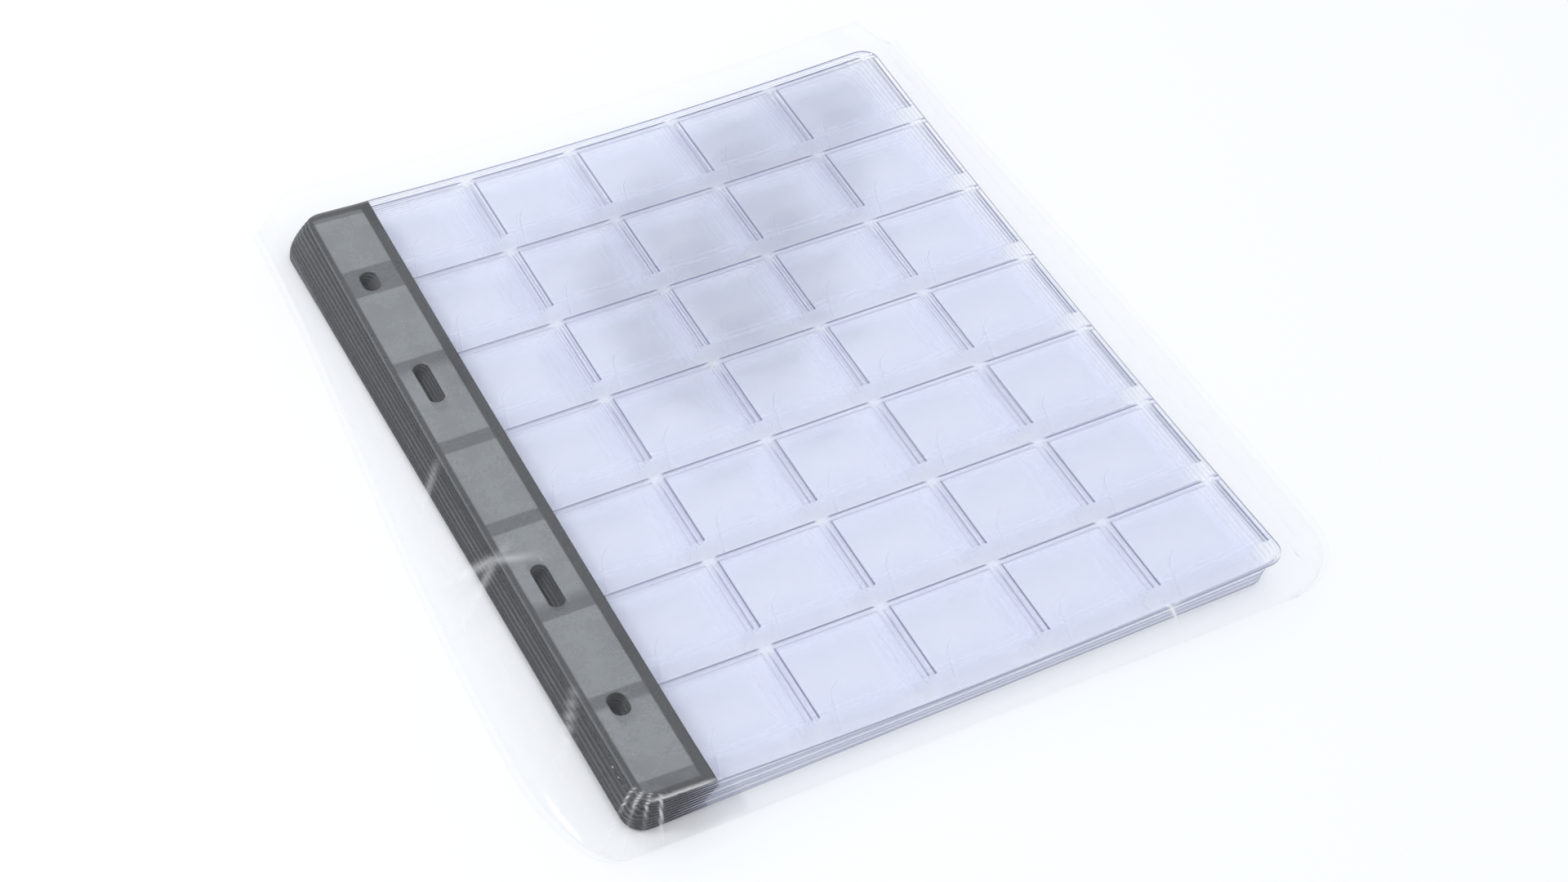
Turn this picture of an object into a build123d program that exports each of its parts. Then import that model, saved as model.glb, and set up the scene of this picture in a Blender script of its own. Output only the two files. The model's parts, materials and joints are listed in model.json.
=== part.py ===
from build123d import *
import os
from math import atan2, degrees, pi, sin

# A stack of clear coin pages in a thin film sleeve that is open at one end.
# Millimetres. +X runs away from the binding edge, +Y towards the sleeve's mouth
# and +Z up. The origin is the centre of the sleeve's footprint, on the surface it lies on.

# ---- one page: overall sizes and films ----
PAGE_COUNT = 10
PAGE_WIDTH = 200.0
PAGE_LENGTH = 250.0
PAGE_CORNER = 6.0
BACKING_FILM = 0.2
POCKET_FILM = 0.2
FLAP_FILM = 0.15
STRIP_FILM = 0.2
POCKET_DEPTH = 0.2          # height inside an empty pocket

# ---- pockets: rows from the far edge, columns from the binding edge ----
COLUMNS = 5
ROWS = 7
FIRST_POCKET = 20.4         # binding edge to the first column of pockets
EDGE_WELD = 1.6             # weld along the edge opposite the binding
FAR_MARGIN = 2.6            # far edge to the first row's weld
NEAR_MARGIN = 1.7           # last row's lower weld to the near edge
COLUMN_WELD = 4.0
ROW_WELD = 2.2
TUCK_BAND = 6.5             # open band below each pocket's front film
COLUMN_PITCH = (PAGE_WIDTH - EDGE_WELD - FIRST_POCKET) / COLUMNS
ROW_PITCH = (PAGE_LENGTH - FAR_MARGIN - NEAR_MARGIN) / ROWS
FRONT_LENGTH = ROW_PITCH - TUCK_BAND

# ---- tuck flap that closes each pocket ----
FLAP_LENGTH = 16.0
FLAP_BASE_INSET = 3.0       # pocket side to the flap's side, at its base
FLAP_TIP_INSET = 7.4        # the same, at its tip
FLAP_TIP_RADIUS = 3.0

# ---- binding strip and its slots ----
STRIP_WIDTH = 22.0
STRIP_WELD = 2.5
SLOT_CENTRE = 9.5           # binding edge to the slots' centre line
INNER_SLOT_SPACING = 87.0   # between the two long slots
OUTER_SLOT_SPACING = 47.0   # from a long slot to its short neighbour
LONG_SLOT = (5.0, 17.0)
SHORT_SLOT = (5.5, 8.5)
INNER_SLOT = INNER_SLOT_SPACING / 2
OUTER_SLOT = INNER_SLOT + OUTER_SLOT_SPACING

# ---- the loose stack ----
PAGE_GAP = 0.35             # clear air between a page and the next
SLEEVE_GAP = 0.3            # clear air between the stack and the sleeve
FAN_FAR = 6.5               # how far the lowest page's far end stands out at the binding side
FAN_NEAR = 2.8              # the same, at its near end
FAN_WAVE = 1.2              # unevenness of the near ends
PAGE_THICKNESS = BACKING_FILM + POCKET_DEPTH + POCKET_FILM + STRIP_FILM
PAGE_PITCH = PAGE_THICKNESS + PAGE_GAP

# ---- the sleeve ----
SLEEVE_FILM = 0.2
SEAM_WIDTH = 3.0
MOUTH_OVERHANG = 12.0       # sleeve beyond the pages' far edge
END_ROOM = 4.3              # pages' near edge to the closed end
BINDING_SLACK = 13.5        # lowest page's binding edge to the seam's outer edge
OPEN_SLACK = 18.0           # top page's opposite edge to that seam's outer edge
SHOULDER_ROOM = 2.0         # flat roof beyond the top page on both sides
SLEEVE_WIDTH = FAN_FAR + BINDING_SLACK + PAGE_WIDTH + OPEN_SLACK
SLEEVE_LENGTH = MOUTH_OVERHANG + PAGE_LENGTH + END_ROOM + SLEEVE_FILM

# ---- places in the part's frame ----
MOUTH_Y = SLEEVE_LENGTH / 2
CLOSED_Y = -SLEEVE_LENGTH / 2
PAGE_FAR_Y = MOUTH_Y - MOUTH_OVERHANG
SPINE_X = FAN_FAR + BINDING_SLACK - SLEEVE_WIDTH / 2
STACK_FLOOR = SLEEVE_FILM + SLEEVE_GAP
ROOF_Z = STACK_FLOOR + PAGE_COUNT * PAGE_PITCH - PAGE_GAP + SLEEVE_GAP
SEAM_X = SLEEVE_WIDTH / 2 - SEAM_WIDTH

# heights inside a page
FRONT_LEVEL = BACKING_FILM + POCKET_DEPTH
STRIP_LEVEL = FRONT_LEVEL + POCKET_FILM

os.makedirs("parts", exist_ok=True)


def save(piece, name):
    """Label a finished piece and write it as its own file."""
    piece.part.label = name
    export_step(piece.part, f"parts/{name}.step")


def page_plane(index):
    """Plane of a page's underside, with its origin at the far binding corner.

    Local x runs away from the binding edge and local -y towards the near edge.
    Page 0 lies on top. The lower pages are fanned out at the binding side."""
    share = index / max(PAGE_COUNT - 1, 1)
    far_shift = -FAN_FAR * sin(share * pi / 2)
    near_shift = -FAN_NEAR * share + FAN_WAVE * sin(share * 2 * pi)
    turn = degrees(atan2(near_shift - far_shift, PAGE_LENGTH))
    level = STACK_FLOOR + (PAGE_COUNT - 1 - index) * PAGE_PITCH
    corner = (SPINE_X + far_shift, PAGE_FAR_Y, level)
    return Plane(Plane(corner).location * Location((0, 0, 0), (0, 0, turn)))


def patch(left, right, far, near, mode=Mode.ADD):
    """Rectangle on a page, by its distances from the binding edge and the far edge."""
    with Locations(((left + right) / 2, -(far + near) / 2)):
        Rectangle(right - left, near - far, mode=mode)


def trim_to_page():
    """Keep only what lies inside the page's rounded outline."""
    with Locations((PAGE_WIDTH / 2, -PAGE_LENGTH / 2)):
        RectangleRounded(PAGE_WIDTH, PAGE_LENGTH, PAGE_CORNER, mode=Mode.INTERSECT)


def cut_slots():
    """Two long slots and two short ones, in a line along the binding edge."""
    middle = -PAGE_LENGTH / 2
    for side in (-1, 1):
        with Locations((SLOT_CENTRE, middle + side * INNER_SLOT)):
            SlotOverall(LONG_SLOT[1], LONG_SLOT[0], rotation=90, mode=Mode.SUBTRACT)
        with Locations((SLOT_CENTRE, middle + side * OUTER_SLOT)):
            SlotOverall(SHORT_SLOT[1], SHORT_SLOT[0], rotation=90, mode=Mode.SUBTRACT)


def make_backing(plane):
    """Whole back film of a page, which everything else is welded to."""
    with BuildPart() as backing:
        with BuildSketch(plane):
            patch(0, PAGE_WIDTH, 0, PAGE_LENGTH)
            trim_to_page()
            cut_slots()
        extrude(amount=BACKING_FILM)
    return backing


def make_pocket_rows(plane):
    """One front film per row, on its top weld and its column welds.

    Each film reaches in under the binding strip and stops short of the next row,
    so its pockets open along its lower edge."""
    row_tops = [FAR_MARGIN + row * ROW_PITCH for row in range(ROWS)]
    pocket_sides = [FIRST_POCKET + column * COLUMN_PITCH for column in range(COLUMNS)]
    with BuildPart() as rows:
        with BuildSketch(plane.offset(BACKING_FILM)):
            for top in row_tops:
                patch(STRIP_WELD, PAGE_WIDTH, top, top + ROW_WELD)
                for side in pocket_sides:
                    patch(side - COLUMN_WELD, side, top, top + FRONT_LENGTH)
                patch(PAGE_WIDTH - EDGE_WELD, PAGE_WIDTH, top, top + FRONT_LENGTH)
            trim_to_page()
            cut_slots()
        extrude(amount=POCKET_DEPTH)
        with BuildSketch(plane.offset(FRONT_LEVEL)):
            for top in row_tops:
                patch(STRIP_WELD, PAGE_WIDTH, top, top + FRONT_LENGTH)
            trim_to_page()
            cut_slots()
        extrude(amount=POCKET_FILM)
    return rows


def make_tuck_flaps(plane):
    """One tapered flap per pocket, standing on the weld below and tucked in under the front."""
    with BuildPart() as flaps:
        with BuildSketch(plane.offset(BACKING_FILM)) as outline:
            for row in range(ROWS):
                base = -(FAR_MARGIN + (row + 1) * ROW_PITCH)
                for column in range(COLUMNS):
                    left = FIRST_POCKET + column * COLUMN_PITCH
                    last = column == COLUMNS - 1
                    right = left + COLUMN_PITCH - (0 if last else COLUMN_WELD)
                    with BuildLine():
                        Polyline(
                            (left + FLAP_BASE_INSET, base),
                            (right - FLAP_BASE_INSET, base),
                            (right - FLAP_TIP_INSET, base + FLAP_LENGTH),
                            (left + FLAP_TIP_INSET, base + FLAP_LENGTH),
                            close=True,
                        )
                    make_face()
            tips = [corner for group in outline.faces()
                    for corner in group.vertices().group_by(Axis.Y)[-1]]
            fillet(tips, radius=FLAP_TIP_RADIUS)
        extrude(amount=FLAP_FILM)
    return flaps


def make_binding_strip(plane):
    """Tinted strip along the binding edge, welded down round three sides of the row films."""
    with BuildPart() as strip:
        with BuildSketch(plane.offset(BACKING_FILM)):
            patch(0, STRIP_WIDTH, 0, PAGE_LENGTH)
            patch(STRIP_WELD, STRIP_WIDTH, FAR_MARGIN, PAGE_LENGTH - NEAR_MARGIN, Mode.SUBTRACT)
            trim_to_page()
        extrude(amount=STRIP_LEVEL - BACKING_FILM)
        with BuildSketch(plane.offset(STRIP_LEVEL)):
            patch(0, STRIP_WIDTH, 0, PAGE_LENGTH)
            trim_to_page()
            cut_slots()
        extrude(amount=STRIP_FILM)
    return strip


for index in range(PAGE_COUNT):
    page = page_plane(index)
    prefix = f"page_{index + 1:02d}"
    save(make_backing(page), f"{prefix}_backing")
    save(make_pocket_rows(page), f"{prefix}_pocket_rows")
    save(make_tuck_flaps(page), f"{prefix}_tuck_flaps")
    save(make_binding_strip(page), f"{prefix}_binding_strip")


# ---- the sleeve: a flat film below, a folded film above, two side seams and a closed end ----
mouth_plane = Plane.XZ.offset(-MOUTH_Y)
closed_plane = Plane.XZ.offset(-CLOSED_Y - SLEEVE_FILM)
INSIDE = [
    (-SEAM_X, SLEEVE_FILM),
    (SPINE_X - SHOULDER_ROOM, ROOF_Z),
    (SPINE_X + PAGE_WIDTH + SHOULDER_ROOM, ROOF_Z),
    (SEAM_X, SLEEVE_FILM),
]
OUTSIDE = [(x, z + SLEEVE_FILM) for x, z in INSIDE]

with BuildPart() as bottom_film:
    with BuildSketch():
        Rectangle(SLEEVE_WIDTH, SLEEVE_LENGTH)
    extrude(amount=SLEEVE_FILM)
save(bottom_film, "sleeve_bottom_film")

FACETS = ["sleeve_binding_side_film", "sleeve_top_film", "sleeve_open_side_film"]
for start, name in enumerate(FACETS):
    with BuildPart() as facet:
        with BuildSketch(mouth_plane):
            with BuildLine():
                Polyline(INSIDE[start], INSIDE[start + 1], OUTSIDE[start + 1], OUTSIDE[start],
                         close=True)
            make_face()
        extrude(amount=SLEEVE_LENGTH - SLEEVE_FILM)
    save(facet, name)

for side, name in ((-1, "sleeve_binding_side_seam"), (1, "sleeve_open_side_seam")):
    with BuildPart() as seam:
        with BuildSketch(Plane.XY.offset(SLEEVE_FILM)):
            with Locations((side * (SEAM_X + SEAM_WIDTH / 2), 0)):
                Rectangle(SEAM_WIDTH, SLEEVE_LENGTH)
        extrude(amount=SLEEVE_FILM)
    save(seam, name)

with BuildPart() as closed_end:
    with BuildSketch(closed_plane):
        with BuildLine():
            Polyline(INSIDE[0], *OUTSIDE, INSIDE[-1], close=True)
        make_face()
    extrude(amount=SLEEVE_FILM)
save(closed_end, "sleeve_closed_end")
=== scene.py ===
"""Coin pages in a film sleeve: ten clear pocket pages with smoke-grey binding strips."""
import json
import math

import bpy
import numpy as np
from bpy.props import FloatProperty, FloatVectorProperty, IntProperty, PointerProperty
from mathutils import Matrix, Vector

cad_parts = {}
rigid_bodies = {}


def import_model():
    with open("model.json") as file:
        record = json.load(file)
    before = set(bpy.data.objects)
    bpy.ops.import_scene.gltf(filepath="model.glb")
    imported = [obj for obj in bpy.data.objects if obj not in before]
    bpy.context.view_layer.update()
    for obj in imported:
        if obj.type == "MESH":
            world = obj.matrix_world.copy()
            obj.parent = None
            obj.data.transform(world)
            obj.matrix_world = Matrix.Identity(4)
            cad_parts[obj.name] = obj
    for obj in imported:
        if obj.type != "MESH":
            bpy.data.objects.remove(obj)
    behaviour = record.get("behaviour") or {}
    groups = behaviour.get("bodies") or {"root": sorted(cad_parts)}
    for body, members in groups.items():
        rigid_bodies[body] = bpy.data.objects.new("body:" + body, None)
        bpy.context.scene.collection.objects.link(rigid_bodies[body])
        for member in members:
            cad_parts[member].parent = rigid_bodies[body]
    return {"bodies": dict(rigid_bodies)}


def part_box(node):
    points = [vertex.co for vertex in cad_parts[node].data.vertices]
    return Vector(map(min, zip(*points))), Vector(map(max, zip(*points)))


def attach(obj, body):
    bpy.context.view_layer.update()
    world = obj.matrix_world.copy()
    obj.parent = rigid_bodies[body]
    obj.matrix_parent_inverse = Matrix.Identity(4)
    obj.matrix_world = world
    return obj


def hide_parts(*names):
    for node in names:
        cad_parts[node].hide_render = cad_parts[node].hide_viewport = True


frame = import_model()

bl_info = {
    "name": "Coin Pages in a Film Sleeve",
    "version": (1, 0, 0),
    "blender": (4, 5, 0),
    "location": "View3D > Sidebar > Coin Pages",
    "description": "Builds a sleeve of clear coin pages around its packed model",
    "category": "Add Mesh",
}


# ---------------------------------------------------------------- places read from the frame
def low_high(node):
    """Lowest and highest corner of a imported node, as arrays."""
    return tuple(np.array(corner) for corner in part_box(node))


PAGES = sorted(name for name in frame["bodies"] if name.startswith("page_"))
TOP_LOW, TOP_HIGH = low_high("page_01_backing")
PAGE_WIDTH, PAGE_LENGTH = (TOP_HIGH - TOP_LOW)[:2]
STRIP_LOW, STRIP_HIGH = low_high("page_01_binding_strip")
STRIP_WIDTH = (STRIP_HIGH - STRIP_LOW)[0]
STACK_CENTRE = ((TOP_LOW + TOP_HIGH) / 2)[:2]
STACK_FLOOR = low_high(f"{PAGES[-1]}_backing")[0][2]
ROOF = low_high("sleeve_top_film")[1][2]
SPINE_X = TOP_LOW[0]
FAR_Y = TOP_HIGH[1]
MOUTH_OVERHANG = low_high("sleeve_bottom_film")[1][1] - FAR_Y


# ---------------------------------------------------------------- settings
def length(name, description, default):
    """A length in metres."""
    return FloatProperty(name=name, description=description, default=default, unit="LENGTH", precision=5)


def share(name, description, default):
    """A number from 0 to 1."""
    return FloatProperty(name=name, description=description, default=default, min=0, max=1,
                         subtype="FACTOR")


def colour(name, description, default):
    """A linear colour."""
    return FloatVectorProperty(name=name, description=description, default=default, size=3,
                               min=0, max=1, subtype="COLOR")


class PageSettings(bpy.types.PropertyGroup):
    columns: IntProperty(name="Columns", description="Pockets across a page", default=5)
    rows: IntProperty(name="Rows", description="Pockets down a page", default=7)
    corner: length("Corner", "Radius of a page's corners", 0.006)
    first_pocket: length("First pocket", "Binding edge to the first column", 0.0204)
    edge_weld: length("Edge weld", "Weld along the open edge", 0.0016)
    far_margin: length("Far margin", "Far edge to the first row's weld", 0.0026)
    near_margin: length("Near margin", "Last weld to the near edge", 0.0017)
    column_weld: length("Column weld", "Width of the weld between two columns", 0.004)
    row_weld: length("Row weld", "Height of the weld on top of a row", 0.0022)
    tuck_band: length("Tuck band", "Open band below a pocket's front film", 0.0065)
    hem_bow: length("Hem bow", "How far a pocket's free hem bows out", 0.0008)
    twin_line: length("Twin line", "A pocket's side to the second line of the weld beside it", 0.0021)
    rim: length("Rim", "Height of the welded bead round a page", 0.0005)
    crossing_gap: length("Crossing gap", "Bare stretch of a row's weld at a column", 0.0025)
    flap_length: length("Flap length", "Weld to the flap's tip", 0.016)
    flap_base_inset: length("Flap base inset", "Pocket side to the flap at its base", 0.003)
    flap_tip_inset: length("Flap tip inset", "Pocket side to the flap at its tip", 0.0074)
    film: length("Film", "Height of a page's lowest film in its place", 0.00012)
    front: length("Front", "Height of a front film's welds in the page's place", 0.00034)
    pocket_rise: length("Pocket rise", "How far a front film stands off its welds", 0.00025)
    flap: length("Flap", "Height of a flap's base in the page's place", 0.00024)
    line_reach: length("Line reach", "Half the width of a weld line", 0.00060)
    deep_lines: share("Deep lines", "How strong the second page's lines are beside the top page's", 0.64)
    deep_fade: share("Deep fade", "How much of that is left on each page further down", 0.78)
    slump: share("Slump", "How much of its height the stack loses away from its corners", 0.28)


class StripSettings(bpy.types.PropertyGroup):
    edge_roll: length("Edge roll", "Radius of the strip's rolled edges", 0.0008)
    window_side: length("Window side", "Strip's side to the window", 0.0030)
    window_far: length("Window far inset", "Row's weld to its window", 0.0020)
    window_near: length("Window near inset", "Window to the next row's weld", 0.0024)
    window_fade: length("Window fade", "Soft edge of a window", 0.0006)
    far_frame: length("Far frame", "Far edge to the first window", 0.0028)
    near_frame: length("Near frame", "Far edge to the end of the last window", 0.2462)
    height: length("Height", "Height of the strip's top in the page's place", 0.0008)
    slot_centre: length("Slot centre", "Binding edge to the slots' centre line", 0.0095)
    inner_spacing: length("Inner spacing", "Between the two long slots", 0.087)
    outer_spacing: length("Outer spacing", "From a long slot to its short neighbour", 0.047)
    long_width: length("Long slot width", "Width of a long slot", 0.005)
    long_length: length("Long slot length", "End to end of a long slot", 0.017)
    short_width: length("Short slot width", "Width of a short slot", 0.0055)
    short_length: length("Short slot length", "End to end of a short slot", 0.0085)
    film: length("Film", "Thickness of the strip's film", 0.00014)


class SleeveSettings(bpy.types.PropertyGroup):
    clearance: length("Clearance", "Roof film above its place in the packed model", 0.0003)
    seam_height: length("Seam height", "Side seams above the table", 0.0004)
    shoulder: length("Shoulder", "Edge of the pages to the bend in the roof film", 0.0012)
    binding_slack: length("Binding slack", "Top page to the binding side seam at the mouth", 0.011)
    binding_bulge: length("Binding bulge", "How far that seam swings out near the closed end", 0.0095)
    open_slack: length("Open slack", "Top page to the other side's seam at the mouth", 0.014)
    open_bulge: length("Open bulge", "How far that seam swings out near the closed end", 0.005)
    end_room: length("End room", "Near edge of the pages to the closed end", 0.0062)
    pleat_height: length("Pleat height", "Height of the pleats at the tight corner", 0.0004)
    ripple: length("Ripple", "Height of the soft waves in the roof film", 0.00022)
    crease_height: length("Crease height", "Height of the creases", 0.0003)
    seam_width: length("Seam width", "Width of the crimped side seams", 0.0024)


class FinishSettings(bpy.types.PropertyGroup):
    film_colour: colour("Film", "Body colour of the clear page film", (0.80, 0.835, 0.99))
    # painted shade: the weld line's colour and veil also paint the pages' near faces dark
    line_and_shade_colour: colour("Weld line", "Colour of a weld line", (0.055, 0.055, 0.17))
    film_veil: share("Film veil", "How much one film hides", 0.017)
    line_and_shade_veil: share("Line veil", "How much a weld line hides", 0.98)
    strip_dark: colour("Strip", "Welded parts of the strip", (0.054, 0.058, 0.065))
    strip_light: colour("Strip window", "Loose parts of the strip", (0.255, 0.272, 0.29))
    # painted shade: near black for the foot of the strip's rolled edges, where the strips below shade them
    strip_rim_shade: colour("Strip rim", "Colour of the strip's rolled edges", (0.004, 0.004, 0.005))
    strip_veil: share("Strip veil", "How much the strip hides", 0.90)
    sleeve_colour: colour("Sleeve", "Colour of the sleeve's film", (0.93, 0.95, 0.98))
    bead_colour: colour("Sleeve edge", "Colour of the sleeve's seams and edge", (0.46, 0.48, 0.52))
    sleeve_veil: share("Sleeve veil", "How much one film of the sleeve hides", 0.006)


class StageSettings(bpy.types.PropertyGroup):
    azimuth: FloatProperty(name="Azimuth", description="Camera's turn round the pages", default=-28.55)
    elevation: FloatProperty(name="Elevation", description="Camera's tilt to the table", default=46.33)
    roll: FloatProperty(name="Roll", description="Camera's tilt about its own axis", default=2.32)
    distance: length("Distance", "Camera to the aimed point", 0.833)
    aim_across: length("Aim across", "Aimed point from the binding edge", 0.0919)
    aim_down: length("Aim down", "Aimed point from the far edge", 0.150)
    lens: FloatProperty(name="Lens", description="Focal length in millimetres", default=66.3)
    floor_colour: colour("Floor", "Colour of the table", (0.93, 0.94, 0.96))
    card_direction: FloatVectorProperty(name="Card", description="Direction of the dim card in the sky",
                                        default=(0.3253, 0.6524, 0.6845), size=3, subtype="DIRECTION")
    card_colour: colour("Card colour", "Colour of that card", (0.26, 0.26, 0.26))
    sky_colour: colour("Sky colour", "Colour of the even light", (0.97, 0.985, 1))
    sky_strength: FloatProperty(name="Sky", description="Strength of the even light", default=0.98)
    key_power: FloatProperty(name="Key", description="Power of the small soft box", default=2.6,
                             subtype="POWER")


GROUPS = {"coin_page": PageSettings, "coin_strip": StripSettings, "coin_sleeve": SleeveSettings,
          "coin_finish": FinishSettings, "coin_stage": StageSettings}


# ---------------------------------------------------------------- grids and meshes
CORNER_SHARES = np.array([0.3, 0.5, 0.75, 1])  # where a rounded corner has grid lines
TINY = 1e-6


def fill(stops, step):
    """Grid lines: every stop, and evenly spaced lines between stops more than a step apart."""
    stops = np.unique(np.round(stops, 6))
    counts = np.maximum(1, np.ceil(np.diff(stops) / step - TINY)).astype(int)
    runs = [np.linspace(a, b, n, endpoint=False) for a, b, n in zip(stops, stops[1:], counts)]
    return np.concatenate(runs + [stops[-1:]])


def beads(marks, reach):
    """Three grid lines for each mark: the mark itself and one at reach on both sides."""
    return (np.asarray(marks)[:, None] + np.array([-reach, 0, reach])).ravel()


def hat(x, mark, reach):
    """1 at the mark, falling in a straight line to 0 at reach on both sides."""
    return np.clip(1 - np.abs(x - mark) / reach, 0, 1)


def ease(x, start, stop):
    """Smooth step: 0 up to start, 1 from stop on, and 3q^2 - 2q^3 between."""
    q = np.clip((x - start) / (stop - start), 0, 1)
    return q * q * (3 - 2 * q)


def build(name, points, body, material, replaces, masks=None, keep=None, thickness=0, shadow=False):
    """Makes one piece from grids of points, shaped (..., rows, columns, 3), each a separate sheet.

    Faces join neighbouring grid points, in the order that makes them face up. A false entry in
    keep drops its face. Masks become float attributes, and Solidify gives the film its thickness
    below the computed surface."""
    rows, columns = points.shape[-3:-1]
    flat = points.reshape(-1, 3)
    index = np.arange(len(flat)).reshape(-1, rows, columns)
    faces = np.stack([index[:, :-1, :-1], index[:, 1:, :-1], index[:, 1:, 1:], index[:, :-1, 1:]], axis=-1)
    faces = faces.reshape(-1, 4) if keep is None else faces[np.broadcast_to(keep, faces.shape[:-1])]
    used, faces = np.unique(faces, return_inverse=True)
    faces = faces.reshape(-1, 4)
    mesh = bpy.data.meshes.new(name)
    mesh.from_pydata(flat[used].tolist(), [], faces.tolist())
    for mask, values in (masks or {}).items():
        layer = mesh.attributes.new(mask, "FLOAT", "POINT")
        values = np.broadcast_to(values, points.shape[:-1]).reshape(-1)[used]
        layer.data.foreach_set("value", values.astype(np.float32))
    mesh.shade_smooth()
    mesh.materials.append(material)
    piece = bpy.data.objects.new(name, mesh)
    bpy.context.scene.collection.objects.link(piece)
    piece.visible_shadow = shadow
    if thickness:
        solid = piece.modifiers.new("film thickness", "SOLIDIFY")
        solid.thickness = thickness
        solid.offset = -1
    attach(piece, body)
    if replaces:
        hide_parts(*replaces)
    return piece


# ---------------------------------------------------------------- the shape of a page
def slump(x, y, depth):
    """Share of the stack's height that is left at a place in the frame.

    With s and t the distances from the stack's middle as shares of half its width and length,
    it is 1 - depth * (1 - s^2 * t^2): the corners stand up and the rest settles."""
    s = np.clip(np.abs(x - STACK_CENTRE[0]) / (PAGE_WIDTH / 2), 0, 1)
    t = np.clip(np.abs(y - STACK_CENTRE[1]) / (PAGE_LENGTH / 2), 0, 1)
    return 1 - depth * (1 - s * s * t * t)


def page_turn(low, high, corner):
    """A page's turn about the vertical, from its box.

    The box of a rounded rectangle turned by q is A cos q + B sin q wide, besides its corners,
    with A and B the straight parts of its sides."""
    across = PAGE_WIDTH - 2 * corner
    along = PAGE_LENGTH - 2 * corner
    width = high[0] - low[0] - 2 * corner
    return math.atan2(along, across) - math.acos(min(1.0, width / math.hypot(across, along)))


def on_page(page, u, v, height):
    """Puts page coordinates in the frame: u from the binding edge, v from the far edge.

    In each corner square, a point's shares (a, b) of the way to the corner become
    (a sqrt(1 - b^2/2), b sqrt(1 - a^2/2)), which rounds the corner. The sheet is then turned
    about its middle, and its height is cut by the slump of the stack."""
    settings = bpy.context.scene.coin_page
    radius = settings.corner
    low, high = low_high(f"{page}_backing")
    x, y = u - PAGE_WIDTH / 2, PAGE_LENGTH / 2 - v
    a = np.clip((np.abs(x) - PAGE_WIDTH / 2) / radius + 1, 0, 1)
    b = np.clip((np.abs(y) - PAGE_LENGTH / 2) / radius + 1, 0, 1)
    x = x + np.sign(x) * radius * a * (np.sqrt(1 - b * b / 2) - 1)
    y = y + np.sign(y) * radius * b * (np.sqrt(1 - a * a / 2) - 1)
    turn = page_turn(low, high, radius)
    centre = (low + high) / 2
    place_x = centre[0] + x * math.cos(turn) - y * math.sin(turn)
    place_y = centre[1] + x * math.sin(turn) + y * math.cos(turn)
    above = low[2] + height - STACK_FLOOR
    place_z = STACK_FLOOR + above * slump(place_x, place_y, settings.slump)
    return np.stack(np.broadcast_arrays(place_x, place_y, place_z), axis=-1)


def corner_stops(size, radius):
    """Grid lines close enough together, near both ends, to draw a rounded corner and an edge line."""
    steps = radius * np.array([0, 0.034, 0.075, *CORNER_SHARES])
    return np.concatenate([steps, size - steps])


def row_tops(settings):
    """Distance of each row's weld from the far edge, and one more for the last lower weld."""
    pitch = (PAGE_LENGTH - settings.far_margin - settings.near_margin) / settings.rows
    return settings.far_margin + pitch * np.arange(settings.rows + 1)


def pocket_sides(settings):
    """Distance of each pocket's left side from the binding edge, and of the last one's right."""
    end = PAGE_WIDTH - settings.edge_weld
    return np.linspace(settings.first_pocket, end, settings.columns + 1)


def fading(depth, settings):
    """How strong the lines of a page are: 1 on top, then deep_lines * deep_fade^(depth - 1)."""
    return settings.deep_lines * settings.deep_fade ** (depth - 1) if depth else 1.0


def slots():
    """Each slot's middle, measured from the far edge, with half its width and half its length."""
    strip = bpy.context.scene.coin_strip
    inner = strip.inner_spacing / 2
    outer = inner + strip.outer_spacing
    middle = PAGE_LENGTH / 2
    long_half = (strip.long_width / 2, strip.long_length / 2)
    short_half = (strip.short_width / 2, strip.short_length / 2)
    return [(middle - outer, *short_half), (middle - inner, *long_half),
            (middle + inner, *long_half), (middle + outer, *short_half)]


def slot_stops():
    """Grid lines across and along the page that a rounded slot needs."""
    centre = bpy.context.scene.coin_strip.slot_centre
    across = [centre + sign * half * part for _, half, _ in slots()
              for sign in (-1, 1) for part in (0, 0.5, 0.87, 1)]
    along = [middle + sign * stop for middle, half, reach in slots()
             for sign in (-1, 1) for stop in (0.6 * (reach - half), reach)]
    return across, along


def cut_slots(u, v):
    """Opens the slots in a grid: drops the faces inside and draws the ends into half circles.

    On a slot's end line, a point x off the centre line moves to reach - half + sqrt(half^2 - x^2)
    from the slot's middle. Returns the new v and which faces to keep."""
    centre = bpy.context.scene.coin_strip.slot_centre
    cell_u = (u[1:, 1:] + u[:-1, :-1]) / 2
    cell_v = (v[1:, 1:] + v[:-1, :-1]) / 2
    keep = np.ones(cell_u.shape, bool)
    for middle, half, reach in slots():
        keep &= ~((np.abs(cell_u - centre) < half) & (np.abs(cell_v - middle) < reach))
        off = np.abs(u - centre)
        on_end = (off < half + TINY) & (np.abs(np.abs(v - middle) - reach) < TINY)
        arc = reach - half + np.sqrt(np.clip(half ** 2 - off ** 2, 0, None))
        v = np.where(on_end, middle + np.sign(v - middle) * arc, v)
    return v, keep


# ---------------------------------------------------------------- shader groups
def node_group(name, inputs, outputs):
    """Empty shader group with its sockets, and its input and output nodes."""
    group = bpy.data.node_groups.new(name, "ShaderNodeTree")
    for label, kind, default in inputs:
        socket = group.interface.new_socket(label, in_out="INPUT", socket_type=kind)
        socket.default_value = default
    for label, kind in outputs:
        group.interface.new_socket(label, in_out="OUTPUT", socket_type=kind)
    return group, group.nodes.new("NodeGroupInput"), group.nodes.new("NodeGroupOutput")


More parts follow.
